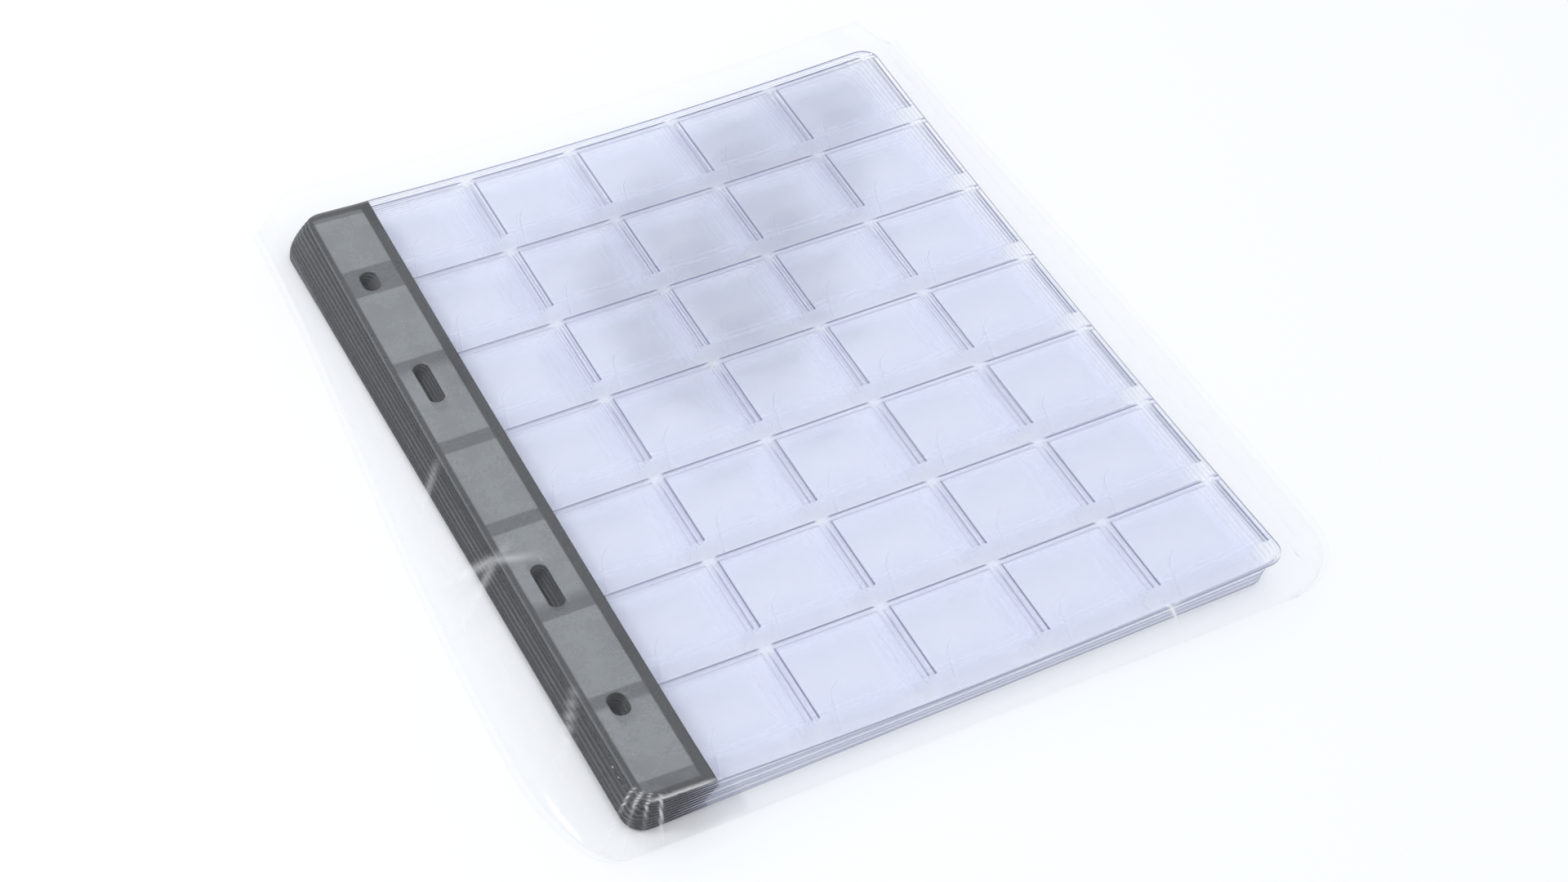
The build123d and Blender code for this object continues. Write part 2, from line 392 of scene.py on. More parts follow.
def math_node(tree, operation, first, second, clamp=False):
    """Math node on two values, each a number or another node's output. Returns its output."""
    node = tree.nodes.new("ShaderNodeMath")
    node.operation = operation
    node.use_clamp = clamp
    for socket, value in zip(node.inputs, (first, second)):
        if isinstance(value, (int, float)):
            socket.default_value = value
        else:
            tree.links.new(value, socket)
    return node.outputs[0]


def clouding_group():
    """Faint handling haze: large soft clouds times fine specks, as a value from 0 to 1."""
    if "film clouding" in bpy.data.node_groups:
        return bpy.data.node_groups["film clouding"]
    group, start, end = node_group(
        "film clouding",
        [("Cloud Scale", "NodeSocketFloat", 18.0), ("Speck Scale", "NodeSocketFloat", 900.0),
         ("Speck Share", "NodeSocketFloat", 0.4), ("Contrast", "NodeSocketFloat", 2.5)],
        [("Value", "NodeSocketFloat")])
    where = group.nodes.new("ShaderNodeTexCoord")
    cloud = group.nodes.new("ShaderNodeTexNoise")
    speck = group.nodes.new("ShaderNodeTexNoise")
    cloud.inputs["Detail"].default_value = 3
    speck.inputs["Detail"].default_value = 1
    for texture, scale in ((cloud, "Cloud Scale"), (speck, "Speck Scale")):
        group.links.new(where.outputs["Object"], texture.inputs["Vector"])
        group.links.new(start.outputs[scale], texture.inputs["Scale"])
    mixed = group.nodes.new("ShaderNodeMix")
    group.links.new(start.outputs["Speck Share"], mixed.inputs["Factor"])
    group.links.new(cloud.outputs["Fac"], mixed.inputs["A"])
    group.links.new(speck.outputs["Fac"], mixed.inputs["B"])
    # (value - 0.5) * contrast + 0.5
    centred = math_node(group, "SUBTRACT", mixed.outputs["Result"], 0.5)
    spread = math_node(group, "MULTIPLY", centred, start.outputs["Contrast"])
    group.links.new(math_node(group, "ADD", spread, 0.5, clamp=True), end.inputs["Value"])
    return group


def clouding(tree, cloud_scale, speck_scale, speck_share):
    """Places the clouding group with its own values and returns its output."""
    node = tree.nodes.new("ShaderNodeGroup")
    node.node_tree = clouding_group()
    node.inputs["Cloud Scale"].default_value = cloud_scale
    node.inputs["Speck Scale"].default_value = speck_scale
    node.inputs["Speck Share"].default_value = speck_share
    return node.outputs["Value"]


def new_material(name):
    """Material with its Principled shader, and the node tree it stands in."""
    material = bpy.data.materials.new(name)
    material.use_nodes = True
    return material, material.node_tree, material.node_tree.nodes["Principled BSDF"]


def attribute(tree, name):
    """Output of a mesh's float attribute."""
    node = tree.nodes.new("ShaderNodeAttribute")
    node.attribute_name = name
    return node.outputs["Fac"]


def blend_colours(tree, factor, first, second):
    """Colour from first at factor 0 to second at factor 1."""
    node = tree.nodes.new("ShaderNodeMix")
    node.data_type = "RGBA"
    node.inputs["A"].default_value = (*first, 1)
    node.inputs["B"].default_value = (*second, 1)
    tree.links.new(factor, node.inputs["Factor"])
    return node.outputs["Result"]


def mix_towards(tree, factor, body, last):
    """Colour from a node's output body at factor 0 to last at factor 1."""
    mixed = blend_colours(tree, factor, (0, 0, 0), last)
    tree.links.new(body, mixed.node.inputs["A"])
    return mixed


def gloss(tree, straight):
    """Share of light a thin clear film mirrors: straight + (1 - straight) * (1 - cos)^5.

    It is the same from both faces, as a film's is."""
    slant = tree.nodes.new("ShaderNodeLayerWeight")
    slant.inputs["Blend"].default_value = 0.5
    rim = math_node(tree, "POWER", slant.outputs["Facing"], 5.0)
    return math_node(tree, "ADD", math_node(tree, "MULTIPLY", rim, 1 - straight), straight)


def add_share(tree, start, value, share):
    """start + value * share, as a node's output."""
    return math_node(tree, "ADD", start, math_node(tree, "MULTIPLY", value, share))


def cover(tree, shader, veil, mirror):
    """Sets how much a film hides, and how much of that is a mirror: mirror / (veil + mirror)."""
    alpha = math_node(tree, "ADD", veil, mirror, clamp=True)
    tree.links.new(alpha, shader.inputs["Alpha"])
    tree.links.new(math_node(tree, "DIVIDE", mirror, alpha, clamp=True), shader.inputs["Metallic"])


def film_material():
    """Clear film with a lavender cast, darker and denser on its weld lines, glossy at a slant, painted dark
    on the pages' near faces as painted shade and white where a painted highlight is set.
    """
    if "clear page film" in bpy.data.materials:
        return bpy.data.materials["clear page film"]
    finish = bpy.context.scene.coin_finish
    material, tree, shader = new_material("clear page film")
    line, glint = attribute(tree, "weld_line_and_shade"), attribute(tree, "glint")
    # some of the mirrored light is lost, because the films touch each other
    mirror = math_node(tree, "MULTIPLY", gloss(tree, 0.04), 0.6)
    veil = math_node(tree, "MULTIPLY", attribute(tree, "veil"), finish.film_veil)
    veil = add_share(tree, veil, line, finish.line_and_shade_veil)
    # painted highlight: glint paints the film white and less clear
    veil = add_share(tree, veil, glint, 0.22)
    cover(tree, shader, veil, mirror)
    # painted shade: the line mask also paints the pages' near faces dark, besides the weld lines
    body = blend_colours(tree, line, finish.film_colour, finish.line_and_shade_colour)
    tree.links.new(mix_towards(tree, glint, body, (1, 1, 1)), shader.inputs["Base Color"])
    shader.inputs["Roughness"].default_value = 0.06
    return material


def strip_material():
    """Smoke-grey film: hazy and paler where it stands off the films below, darker on its welds, with a
    painted highlight along the crowns of its rolled edges and painted shade at their foot.
    """
    if "smoke strip film" in bpy.data.materials:
        return bpy.data.materials["smoke strip film"]
    finish = bpy.context.scene.coin_finish
    material, tree, shader = new_material("smoke strip film")
    haze = clouding(tree, 130, 1800, 0.4)
    # windows are mottled: 0.78 + 0.30 * haze
    mottle = add_share(tree, 0.78, haze, 0.30)
    # the window mask also carries a painted highlight along the crowns of the rolled edges
    window = math_node(tree, "MULTIPLY", attribute(tree, "window"), mottle, clamp=True)
    body = blend_colours(tree, window, finish.strip_dark, finish.strip_light)
    # painted shade: the rim mask turns the rolled edges near black towards their foot, and draws a dark line
    # along the inner edge
    body = mix_towards(tree, attribute(tree, "rim"), body, finish.strip_rim_shade)
    tree.links.new(body, shader.inputs["Base Color"])
    shader.inputs["Alpha"].default_value = finish.strip_veil
    tree.links.new(add_share(tree, 0.14, haze, 0.25), shader.inputs["Roughness"])
    bump = tree.nodes.new("ShaderNodeBump")
    bump.inputs["Strength"].default_value = 0.12
    bump.inputs["Distance"].default_value = 0.0002
    tree.links.new(haze, bump.inputs["Height"])
    tree.links.new(bump.outputs["Normal"], shader.inputs["Normal"])
    return material


def sleeve_material():
    """Thin clear film that shows by its gloss, by whitened creases, and by painted highlights on its pleats
    and along its closed end.
    """
    if "clear sleeve film" in bpy.data.materials:
        return bpy.data.materials["clear sleeve film"]
    finish = bpy.context.scene.coin_finish
    material, tree, shader = new_material("clear sleeve film")
    bead = attribute(tree, "bead")
    # painted highlight: this mask whitens the film on its creases, partly the film's real whitening, and on
    # the pleat rays and along the closed end
    veil = add_share(tree, finish.sleeve_veil, attribute(tree, "crease_and_glint"), 0.75)
    veil = add_share(tree, veil, bead, 0.3)
    cover(tree, shader, veil, gloss(tree, 0.035))
    tree.links.new(blend_colours(tree, bead, finish.sleeve_colour, finish.bead_colour),
                   shader.inputs["Base Color"])
    haze = clouding(tree, 25, 1200, 0.3)
    tree.links.new(math_node(tree, "MULTIPLY", haze, 0.14), shader.inputs["Roughness"])
    return material


# ---------------------------------------------------------------- operators
class BackingFilms(bpy.types.Operator):
    """Makes each page's whole back film, with its slots"""
    bl_idname = "coinpages.backing_films"
    bl_label = "Backing Films"

    def execute(self, context):
        settings = context.scene.coin_page
        across, along = slot_stops()
        # the last grid line lies a hair outside the page, so the sheet turns straight down there
        fold = 0.000002
        ends = np.array([-fold, fold])
        stops_u = [*corner_stops(PAGE_WIDTH, settings.corner), *across, *(ends + [0, PAGE_WIDTH])]
        stops_v = [*corner_stops(PAGE_LENGTH, settings.corner), *along, *(ends + [0, PAGE_LENGTH])]
        step_u, step_v = 0.012, 0.0125
        u, v = np.meshgrid(fill(stops_u, step_u), fill(stops_v, step_v))
        v, keep = cut_slots(u, v)
        edge = np.minimum(np.minimum(u, PAGE_WIDTH - u), np.minimum(v, PAGE_LENGTH - v))
        # a bead stands up along the edge, and its outer face drops back to the page's underside
        crown, foot = 0.0002, settings.line_reach
        beyond_strip = u > STRIP_WIDTH
        bead = settings.rim * (1 - ease(edge, crown, foot)) * beyond_strip
        height = np.where(edge < 0, 0, settings.film + bead)
        line = hat(edge, 0, settings.line_reach)
        outer_face = (v > PAGE_LENGTH) * beyond_strip
        near_rim = v > PAGE_LENGTH - 0.001
        for depth, page in enumerate(PAGES):
            # the rims of lower pages show mostly along the near edge
            strength = np.where(near_rim, 0.55, 0.18) if depth else 0.75
            # painted light and shade at the near edge: every third page's face is painted bright, as if it
            # caught the light, and the others are painted dark
            darkness = 0.1 if depth % 3 == 1 else 0.85
            masks = {"weld_line_and_shade": np.maximum(line * strength, outer_face * darkness), "veil": 1.0,
                     "glint": outer_face * (1 - darkness)}
            build(f"{page}_back_film", on_page(page, u, v, height), page, film_material(),
                  [f"{page}_backing"], masks, keep)
        return {"FINISHED"}


class PocketFronts(bpy.types.Operator):
    """Makes the seven front films of each page, domed between their weld lines"""
    bl_idname = "coinpages.pocket_fronts"
    bl_label = "Pocket Fronts"

    def execute(self, context):
        settings = context.scene.coin_page
        reach = settings.line_reach
        sides = pocket_sides(settings)
        tops = row_tops(settings)[:-1]
        front = row_tops(settings)[1] - tops[0] - settings.tuck_band
        # each pocket's right weld, and the second line of every weld between two pockets
        bands = np.append(sides[:-1] - settings.column_weld, sides[-1])
        last_twin = 0.0011
        twins = np.append(sides[1:-1] - settings.twin_line, sides[-1] - last_twin)
        under_strip = 0.008
        stops_u = [STRIP_WIDTH - under_strip, *beads(sides, reach), *beads(bands[1:], reach),
                   *beads(twins, reach), PAGE_WIDTH, *(PAGE_WIDTH - settings.corner * CORNER_SHARES)]
        # the row's weld line and the weld's lower side, then a hem line and the free hem
        first_line, hem_line, foot = 0.0004, 0.0017, front - reach
        marks_v = [first_line, settings.row_weld, foot - hem_line, foot]
        stops_v = [0, *beads(marks_v, reach), front]
        stops_v = [stop for stop in stops_v if 0 <= stop <= front]
        step_u, step_v = 0.0065, 0.005
        u, down = np.meshgrid(fill(stops_u, step_u), fill(stops_v, step_v))
        # the pocket that each point lies in, with its left and right side
        pocket = np.clip(np.searchsorted(sides, u, side="right") - 1, 0, settings.columns - 1)
        left = sides[pocket]
        right = bands[pocket + 1]
        side_slope, top_slope = 0.004, 0.005
        across = ease(u, left, left + side_slope) * (1 - ease(u, right - side_slope, right))
        dome = across * ease(down, settings.row_weld, settings.row_weld + top_slope)
        rise = settings.front + settings.pocket_rise * dome
        # weld lines: the pocket's own side is sharpest, and the row's weld is bare at a crossing
        crossing = np.min(np.abs(u[..., None] - (sides - settings.column_weld / 2)), axis=-1)
        bare = ease(crossing, settings.crossing_gap * 0.5, settings.crossing_gap)
        upright = ease(down, settings.row_weld - reach, settings.row_weld)
        line = np.zeros_like(u)
        for marks, strength in ((sides, 1.0), (twins, 0.8), (bands[1:-1], 0.5)):
            for mark in marks:
                line = np.maximum(line, strength * hat(u, mark, reach) * upright)
        for mark, strength in zip(marks_v[:2], (1.0, 0.6)):
            line = np.maximum(line, strength * hat(down, mark, reach) * bare)
        hem = np.maximum(0.26 * hat(down, marks_v[2], reach), 0.34 * hat(down, marks_v[3], reach))
        # painted highlight: bright white spots where the welds cross
        spot_core, spot_middle, spot_reach = 0.0006, 0.0012, 0.0026
        glint = 1 - ease(crossing, spot_core, settings.crossing_gap)
        glint = glint * hat(down, spot_middle, spot_reach)
        inside = (u >= left) & (u <= right) & (down > settings.row_weld)
        # painted shade: each pocket is drawn darker, with more veil, beside its right weld and under its
        # row's weld
        side_shade = 1 - ease(right - u, 0.0, 0.006)
        top_shade = 0.8 * (1 - ease(down, 0.003, 0.008))
        veil = np.where(inside, 0.85 + 1.1 * np.maximum(side_shade, top_shade), 0.15)
        # each pocket's free hem bows towards the near edge by hem_bow * sin(pi * share across)
        bow_start = 0.016
        bow = settings.hem_bow * np.sin(math.pi * np.clip((u - left) / (right - left), 0, 1))
        v = tops[:, None, None] + down + bow * ease(down, bow_start, front)
        for depth, page in enumerate(PAGES):
            strength = fading(depth, settings)
            # hems fade faster with depth than welds do
            masks = {"weld_line_and_shade": np.maximum(line * strength, hem * strength ** 3), "veil": veil,
                     "glint": 0.0 if depth else glint}
            build(f"{page}_pocket_fronts", on_page(page, u, v, rise), page, film_material(),
                  [f"{page}_pocket_rows"], masks)
        return {"FINISHED"}


class TuckFlaps(bpy.types.Operator):
    """Makes the tapered flap of every pocket"""
    bl_idname = "coinpages.tuck_flaps"
    bl_label = "Tuck Flaps"

    def execute(self, context):
        settings = context.scene.coin_page
        sides = pocket_sides(settings)
        left = sides[:-1]
        right = np.append(sides[1:-1] - settings.column_weld, sides[-1])
        bases = row_tops(settings)[1:]
        # a line's reach as a share of the flap's mean width
        mean_width = 0.022
        reach = 0.8 * settings.line_reach / mean_width
        # across the flap from 0 to 1, and up it from its base to its tip
        across, up = np.meshgrid(fill([0, reach, 0.12, 0.88, 1 - reach, 1], 0.4),
                                 fill([0, 0.75, 0.9, 1], 0.3))
        inset = settings.flap_base_inset
        inset = inset + (settings.flap_tip_inset - inset) * up
        # the tip's corners are rounded: the inset grows by a quarter ellipse over the last third
        tip_round = 0.003
        inset = inset + tip_round * (1 - np.sqrt(1 - ease(up, 0.7, 1.0) ** 2 * 0.999))
        width = (right - left)[:, None, None] - 2 * inset
        u = left[:, None, None] + inset + width * across
        v = bases[:, None, None, None] - settings.flap_length * up
        line = np.maximum(0.55 * hat(across, 0, reach), 0.15 * hat(across, 1, reach))
        tip_rise = 0.00004
        height = settings.flap + tip_rise * up
        points_u, points_v, points_h = np.broadcast_arrays(u, v, height)
        for depth, page in enumerate(PAGES):
            masks = {"weld_line_and_shade": line * fading(depth, settings) ** 2, "veil": 0.1, "glint": 0.0}
            build(f"{page}_flaps", on_page(page, points_u, points_v, points_h), page, film_material(),
                  [f"{page}_tuck_flaps"], masks)
        return {"FINISHED"}


class BindingStrips(bpy.types.Operator):
    """Makes the smoke-grey strips, with rolled edges, raised windows and slots"""
    bl_idname = "coinpages.binding_strips"
    bl_label = "Binding Strips"

    def execute(self, context):
        strip = context.scene.coin_strip
        settings = context.scene.coin_page
        tops = row_tops(settings)
        starts = tops[:-1] + strip.window_far
        ends = tops[1:] - strip.window_near
        # the first and the last window stop short
        first_short, last_short = 0.0069, 0.0032
        ends[0] -= first_short
        ends[-1] -= last_short
        side, fade = strip.window_side, strip.window_fade
        far, near, near_fade = strip.far_frame, strip.near_frame, 0.0008
        across, along = slot_stops()
        roll = strip.edge_roll
        arc = roll * (1 - np.cos(np.linspace(0, math.pi / 2, 5)))
        crown = roll * np.array([0.3, 0.9, 1.1, 1.7])
        inner = STRIP_WIDTH - side
        stops_u = [*arc, *across, side - fade, side, inner - fade, inner, STRIP_WIDTH - fade, STRIP_WIDTH,
                   *(settings.corner * CORNER_SHARES), *crown]
        stops_v = [*arc, *(PAGE_LENGTH - arc), *along, *corner_stops(PAGE_LENGTH, settings.corner),
                   *crown, *(PAGE_LENGTH - crown), far, far + fade, near, near + near_fade,
                   *starts, *(starts + fade), *ends, *(ends - fade)]
        # no grid line crosses a slot, besides the slot's own
        slot_free = [stop for stop in stops_v
                     if stop in along
                     or all(abs(stop - middle) >= reach - TINY for middle, _, reach in slots())]
        step_u, step_v = 0.0035, 0.008
        u, v = np.meshgrid(fill(stops_u, step_u), fill(slot_free, step_v))
        window = np.zeros_like(u)
        for start, end in zip(starts, ends):
            tall = ease(v, start, start + fade) * (1 - ease(v, end - fade, end))
            window = np.maximum(window, tall)
        # bars between windows are darker than windows, and the frame round them is darkest
        bar = 0.42
        window = bar + (1 - bar) * window
        window = window * ease(v, far, far + fade) * (1 - ease(v, near, near + near_fade))
        window = window * ease(u, side - fade, side) * (1 - ease(u, inner - fade, inner))
        v_cut, keep = cut_slots(u, v)
        # rolled edges: a quarter circle down to the backing on the three outer sides
        edge = np.minimum(u, np.minimum(v, PAGE_LENGTH - v))
        drop = roll - np.sqrt(np.clip(roll ** 2 - np.clip(roll - edge, 0, None) ** 2, 0, None))
        window_rise = 0.0001
        height = strip.height - 0.9 * drop + window_rise * window
        # painted shade: near black towards the foot of the rolled edges, where the strips below shade them,
        # and a half-strength dark line along the inner edge
        rim = np.maximum(np.clip(1.5 - edge / (0.6 * roll), 0, 1), 0.5 * hat(u, STRIP_WIDTH, fade))
        # painted highlight: the rolled edge is drawn paler along its crown, where it catches the light
        window = np.maximum(window, 0.55 * hat(edge, 1.1 * roll, 0.6 * roll))
        # under the top page, the strips are pressed together round the slots
        loose = np.ones_like(u)
        pressed, free = 0.002, 0.004
        for middle, half, reach in slots():
            off = np.hypot(np.clip(np.abs(u - strip.slot_centre) - half, 0, None),
                           np.clip(np.abs(v - middle) - reach, 0, None))
            loose = np.minimum(loose, ease(off, pressed, free))
        for depth, page in enumerate(PAGES):
            masks = {"window": window * loose if depth else window, "rim": rim}
            build(f"{page}_spine_strip", on_page(page, u, v_cut, height), page, strip_material(),
                  [f"{page}_binding_strip"], masks, keep, strip.film, shadow=True)
        return {"FINISHED"}


class Sleeve(bpy.types.Operator):
    """Makes the thin film sleeve, tight over the stack and flat at its side seams"""
    bl_idname = "coinpages.sleeve"
    bl_label = "Film Sleeve"

    # creases: each runs from (u, v) to (u, v), in metres on the top page, with its width and strength;
    # the strength sets its height and how white it is drawn, partly the film's real whitening and partly
    # painted highlight
    CREASES = [
        ((-0.016, 0.150), (0.012, 0.158), 0.0016, 0.40),
        ((-0.018, 0.168), (0.006, 0.150), 0.0012, 0.33),
        ((-0.014, 0.128), (0.000, 0.112), 0.0010, 0.3),
        ((-0.012, 0.226), (0.001, 0.206), 0.0010, 0.35),
        ((0.1595, 0.2495), (0.1615, 0.2535), 0.0005, 0.9),
        ((0.1590, 0.2515), (0.1640, 0.2505), 0.0004, 0.6),
    ]

    # painted highlights on the sharp pleats at the tight corner: each one's direction from a point inside it,
    # and half width, in radians
    PLEAT_HIGHLIGHTS = [(0.46, 0.030), (0.68, 0.045), (0.90, 0.030), (1.16, 0.040)]

    # grid stops of p and q with the step between them, fine where there are creases
    SPANS_ACROSS = [((0, 1), 0.05), ((1, 1.15), 0.0035), ((1.15, 1.78, 1.79, 1.83, 2), 0.025),
                    ((1.79, 1.83), 0.0025), ((2, 3), 0.07)]
    SPANS_ALONG = [((0, 0.4), 0.014), ((0.4, 0.75), 0.0045), ((0.75, 0.93), 0.011),
                   ((0.93, 1), 0.0025), ((1, 2), 0.04)]

    def seam_lines(self, v, context):
        """Distance of both side seams from the binding edge at distance v from the far edge.

        Each swings out along a quarter sine, to the power 1.6 and over 0.2 m, then is drawn in
        along a circle at the closed end."""
        sleeve = context.scene.coin_sleeve
        end = PAGE_LENGTH + sleeve.end_room

        def draw(radius):
            """Quarter circle over the last stretch, which ends a hair past the closed end."""
            return 1 - np.sqrt(1 - np.clip((v - end + radius) / (radius + 0.0001), 0, 1) ** 2)

        swing = np.sin(np.clip(v / 0.2, 0, 1) * math.pi / 2) ** 1.6
        # how far outside, and inside, the pages' corners the two seams end
        left_end, right_end = 0.0052, 0.004
        left = -sleeve.binding_slack - sleeve.binding_bulge * swing
        left = left + (sleeve.binding_slack + sleeve.binding_bulge - left_end) * draw(0.042)
        right = PAGE_WIDTH + sleeve.open_slack + sleeve.open_bulge * swing
        right = right - (sleeve.open_slack + sleeve.open_bulge + right_end) * draw(0.021)
        return left, right

    def crease_mask(self, u, v):
        """Highest of the creases' bells: each is exp(-(distance to its segment / width)^2)."""
        mask = np.zeros(np.broadcast(u, v).shape)
        for (u0, v0), (u1, v1), width, strength in self.CREASES:
            run = np.array([u1 - u0, v1 - v0])
            along = np.clip(((u - u0) * run[0] + (v - v0) * run[1]) / (run @ run), 0, 1)
            off = np.hypot(u - u0 - along * run[0], v - v0 - along * run[1])
            taper = np.sin(math.pi * np.clip(along, 0.02, 0.98)) ** 0.5
            mask = np.maximum(mask, strength * taper * np.exp(-(off / width) ** 2))
        return mask

    def pleats(self, u, v):
        """Pleats that fan out round the tight corner, about a point inside it.

        With a the angle about the point, their folds are |sin(7.5 a + 1.2 sin 3a)|^3. Returns the
        folds and the painted highlights drawn as bright lines on their crests."""
        inset = 0.010
        du, dv = inset - u, v - (PAGE_LENGTH - inset)
        angle, reach = np.arctan2(dv, du), np.hypot(du, dv)
        fan = ease(reach, 0.006, 0.012) * (du > -0.004) * (dv > -0.006)
        fold = np.abs(np.sin(angle * 7.5 + 1.2 * np.sin(angle * 3))) ** 3
        highlight_rays = np.zeros_like(u)
        for ray, width in self.PLEAT_HIGHLIGHTS:
            highlight_rays = np.maximum(highlight_rays, hat(angle, ray, width))
        # the rays start at the corner's edge and fade beyond its side
        bright = ease(reach, 0.0092, 0.0108) * (1 - 0.8 * ease(reach, 0.0140, 0.0170))
        return fan * fold, 0.85 * highlight_rays * bright

    def top_film(self, context):
        """Roof, side slopes and closed end as one surface of p across and q along.

        p runs 0..1 up the binding side, 1..2 over the stack and 2..3 down the open side; q runs
        0..1 along the stack and 1..2 down the closed end. The height is the roof's, times
        p^1.25, (3-p)^1.25 and (2-q)^0.8 on the slopes, plus ripples, pleats and creases."""
        sleeve = context.scene.coin_sleeve
        p, q = np.meshgrid(*(np.unique(np.concatenate([fill(stops, step) for stops, step in spans]))
                             for spans in (self.SPANS_ACROSS, self.SPANS_ALONG)))
        edge = PAGE_LENGTH + sleeve.shoulder
        end = PAGE_LENGTH + sleeve.end_room
        v = np.where(q < 1, -MOUTH_OVERHANG + (edge + MOUTH_OVERHANG) * q, edge + (end - edge) * (q - 1))
        left, right = self.seam_lines(v, context)
        stack_left, stack_right = -sleeve.shoulder, PAGE_WIDTH + sleeve.shoulder
        u = np.select(
            [p < 1, p < 2],
            [left + (stack_left - left) * p, stack_left + (stack_right - stack_left) * (p - 1)],
            stack_right + (right - stack_right) * (p - 2))
        slopes = np.clip(p, 0, 1) ** 1.25 * np.clip(3 - p, 0, 1) ** 1.25 * np.clip(2 - q, 0, 1) ** 0.8
        x, y = SPINE_X + u, FAR_Y - v
        # ripples: two crossed waves and a finer one that wanders, in radians per metre
        ripple = np.sin(x * 95 + y * 40) * np.sin(y * 70 - x * 22)
        ripple = ripple + 0.5 * np.sin(x * 210 + 2 * np.sin(y * 55))
        crease_and_glint = self.crease_mask(u, v)
        fold, highlight_rays = self.pleats(u, v)
        low_end = np.clip(1.6 - q, 0.15, 1)
        height = (ROOF + sleeve.clearance) * slump(x, y, context.scene.coin_page.slump) * slopes
        height = height + slopes * (sleeve.ripple * (1 + ripple) + sleeve.crease_height * crease_and_glint)
        height = height + sleeve.pleat_height * fold * ease(slopes, 0.1, 0.5) * low_end
        # painted highlight: one more bright line runs along the top of the closed end, over the strip
        glint = hat(v, PAGE_LENGTH + 0.0004, 0.0007) * ease(u, 0.0, 0.006) * (1 - ease(u, 0.018, 0.024))
        mask = np.maximum(np.maximum(crease_and_glint, highlight_rays), 0.8 * glint)
        # beads: along the mouth, at both side seams, and a faint line half way up both slopes
        bead = 0.35 * hat(q, 0, 0.006) + 0.15 * np.maximum(hat(p, 0.0, 0.12), hat(p, 3.0, 0.12))
        bead = np.maximum(bead, 0.25 * np.maximum(hat(p, 0.45, 0.06), hat(p, 2.5, 0.09)) * (v < 0.24))
        return np.stack([x, y, sleeve.seam_height + height], axis=-1), mask, bead

    def execute(self, context):
        sleeve = context.scene.coin_sleeve
        points, crease_and_glint, bead = self.top_film(context)
        build("sleeve_roof_film", points, "sleeve", sleeve_material(),
              ["sleeve_top_film", "sleeve_binding_side_film", "sleeve_open_side_film", "sleeve_closed_end"],
              {"crease_and_glint": crease_and_glint, "bead": bead})
        # the film under the pages has the same outline, on every second grid line
        above_table = 0.0002
        base = points.copy()
        base[..., 2] = above_table
        build("sleeve_base_film", base[:, ::2], "sleeve", sleeve_material(),
              ["sleeve_bottom_film"], {"crease_and_glint": 0.0, "bead": 0.0})
        # a seam is a flat band with a raised bead along both of its edges
        reach = np.array([0, 0.25, 0.5, 0.75, 1.0])
        rise = np.array([0.00045, 0.0003, 0.0003, 0.0003, 0.0005])
        for column, outward, name in ((0, -1, "binding_side"), (-1, 1, "open_side")):
            band = np.repeat(points[:, column][:, None], len(reach), axis=1)
            band[..., 0] += outward * sleeve.seam_width * reach
            band[..., 2] = rise
            mask = np.array([0.5, 0.05, 0.05, 0.05, 0.6])
            if outward < 0:
                band, mask = band[:, ::-1], mask[::-1]
            build(f"sleeve_{name}_crimp", band, "sleeve", sleeve_material(),
                  [f"sleeve_{name}_seam"], {"crease_and_glint": 0.0, "bead": mask})
        return {"FINISHED"}


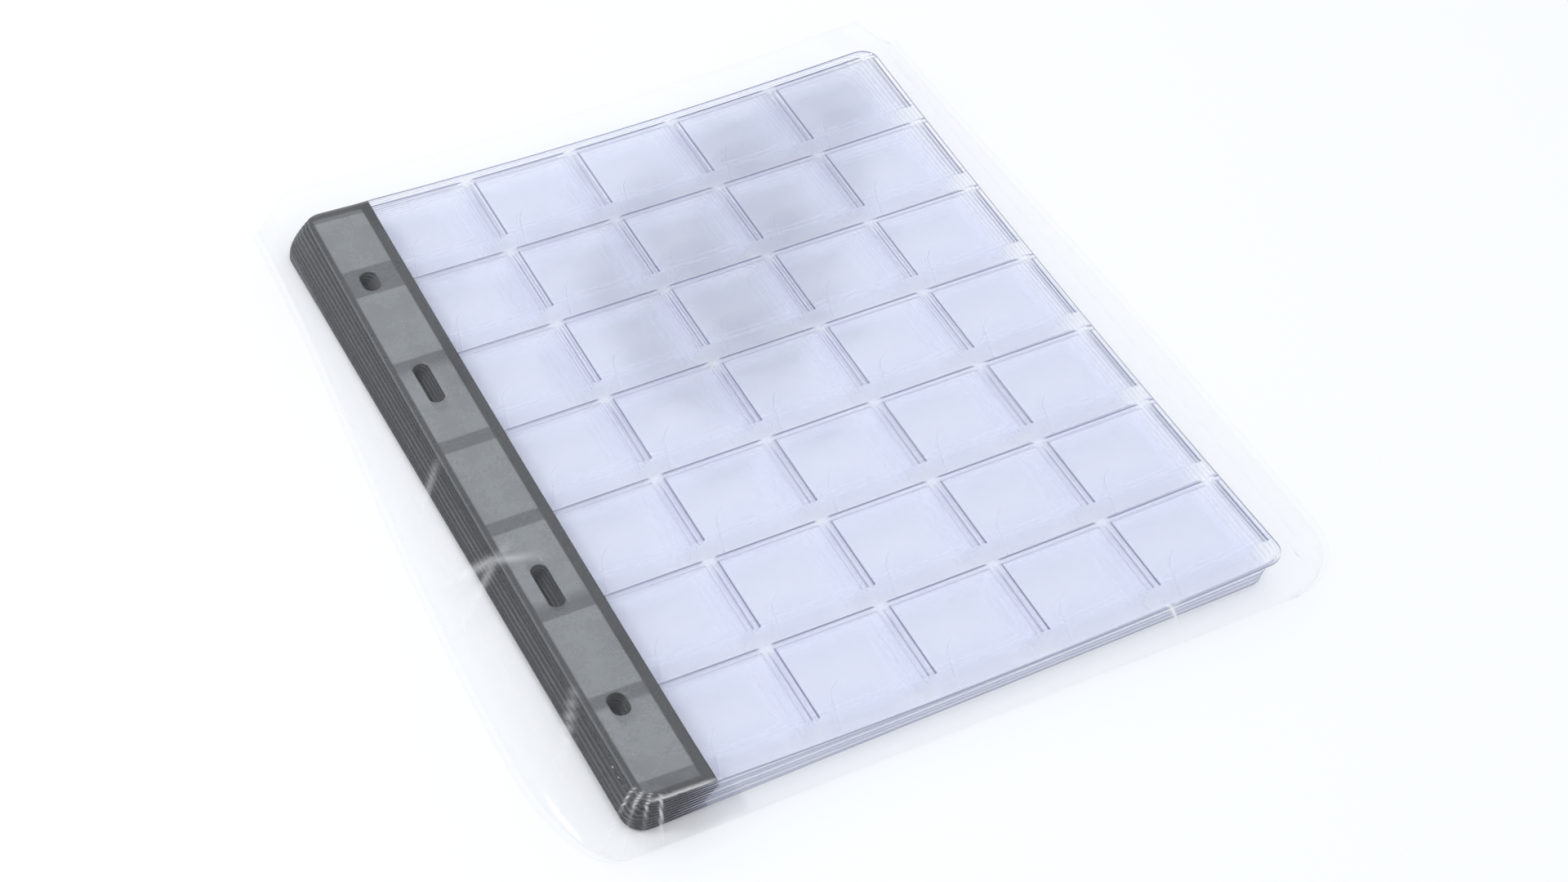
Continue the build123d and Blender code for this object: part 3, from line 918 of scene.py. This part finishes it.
class Stage(bpy.types.Operator):
    """Makes the table, the soft light and the camera"""
    bl_idname = "coinpages.stage"
    bl_label = "Stage"

    def floor(self, settings):
        """Wide matt table top just under the sleeve."""
        mesh = bpy.data.meshes.new("table_top")
        half = 4.0
        corners = half * np.array([[-1, -1, 0], [1, -1, 0], [1, 1, 0], [-1, 1, 0]])
        mesh.from_pydata(corners.tolist(), [], [(0, 1, 2, 3)])
        material, _, shader = new_material("pale table")
        shader.inputs["Base Color"].default_value = (*settings.floor_colour, 1)
        shader.inputs["Roughness"].default_value = 0.9
        shader.inputs["Specular IOR Level"].default_value = 0.1
        mesh.materials.append(material)
        table = bpy.data.objects.new("table_top", mesh)
        bpy.context.scene.collection.objects.link(table)

    def lights(self, scene, settings):
        """Even pale sky and a small soft box behind the pages, for glints."""
        world = bpy.data.worlds.new("pale sky")
        world.use_nodes = True
        sky = world.node_tree.nodes["Background"]
        # a dim round card up behind the pages, fading between two angles from its middle
        core, rim = math.radians(1.7), math.radians(2.9)
        tree = world.node_tree
        where = tree.nodes.new("ShaderNodeTexCoord")
        aside = tree.nodes.new("ShaderNodeVectorMath")
        aside.operation = "DOT_PRODUCT"
        aside.inputs[1].default_value = settings.card_direction
        tree.links.new(where.outputs["Generated"], aside.inputs[0])
        card = tree.nodes.new("ShaderNodeMapRange")
        card.interpolation_type = "SMOOTHSTEP"
        card.inputs["From Min"].default_value = math.cos(rim)
        card.inputs["From Max"].default_value = math.cos(core)
        tree.links.new(aside.outputs["Value"], card.inputs["Value"])
        tree.links.new(blend_colours(tree, card.outputs["Result"], settings.sky_colour, settings.card_colour),
                       sky.inputs["Color"])
        sky.inputs["Strength"].default_value = settings.sky_strength
        scene.world = world
        lamp = bpy.data.lights.new("key light", "AREA")
        lamp.shape = "RECTANGLE"
        lamp.size, lamp.size_y = 0.26, 0.14
        lamp.energy = settings.key_power
        key = bpy.data.objects.new("key light", lamp)
        key.location = (-0.75, 0.35, 1.0)
        key.rotation_euler = (-key.location).to_track_quat("-Z", "Y").to_euler()
        scene.collection.objects.link(key)

    def camera(self, scene, settings):
        """Camera that looks down over the binding side, with a slight roll."""
        azimuth, elevation = math.radians(settings.azimuth), math.radians(settings.elevation)
        ahead = Vector((-math.sin(azimuth) * math.cos(elevation), math.cos(azimuth) * math.cos(elevation),
                        -math.sin(elevation)))
        aim = Vector((SPINE_X + settings.aim_across, FAR_Y - settings.aim_down, ROOF))
        lens = bpy.data.cameras.new("camera")
        lens.lens = settings.lens
        lens.sensor_width = 36
        lens.clip_start, lens.clip_end = 0.01, 20
        camera = bpy.data.objects.new("camera", lens)
        turn = ahead.to_track_quat("-Z", "Y").to_matrix().to_4x4()
        roll = Matrix.Rotation(math.radians(settings.roll), 4, "Z")
        camera.matrix_world = Matrix.Translation(aim - ahead * settings.distance) @ turn @ roll
        scene.collection.objects.link(camera)
        scene.camera = camera

    def execute(self, context):
        scene = context.scene
        settings = scene.coin_stage
        self.floor(settings)
        self.lights(scene, settings)
        self.camera(scene, settings)
        scene.view_settings.view_transform = "Standard"
        scene.cycles.max_bounces = 4
        scene.cycles.diffuse_bounces = 2
        scene.cycles.glossy_bounces = 2
        scene.cycles.transparent_max_bounces = 256
        scene.cycles.light_sampling_threshold = 0.05
        return {"FINISHED"}


class CoinPagesPanel(bpy.types.Panel):
    """Sidebar list of the pieces and their settings"""
    bl_idname = "VIEW3D_PT_coin_pages"
    bl_label = "Coin Pages"
    bl_space_type = "VIEW_3D"
    bl_region_type = "UI"
    bl_category = "Coin Pages"

    def draw(self, context):
        for operator in OPERATORS:
            self.layout.operator(operator.bl_idname)
        for name, group in GROUPS.items():
            box = self.layout.box()
            for setting in group.__annotations__:
                box.prop(getattr(context.scene, name), setting)


OPERATORS = (Stage, BackingFilms, PocketFronts, TuckFlaps, BindingStrips, Sleeve)


def register():
    for group in (*GROUPS.values(), *OPERATORS, CoinPagesPanel):
        bpy.utils.register_class(group)
    for name, group in GROUPS.items():
        setattr(bpy.types.Scene, name, PointerProperty(type=group))


def unregister():
    for name in GROUPS:
        delattr(bpy.types.Scene, name)
    for group in (CoinPagesPanel, *reversed(OPERATORS), *reversed(GROUPS.values())):
        bpy.utils.unregister_class(group)


def main():
    register()
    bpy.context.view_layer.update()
    for operator in OPERATORS:
        category, name = operator.bl_idname.split(".")
        getattr(getattr(bpy.ops, category), name)()


if __name__ == "__main__":
    main()
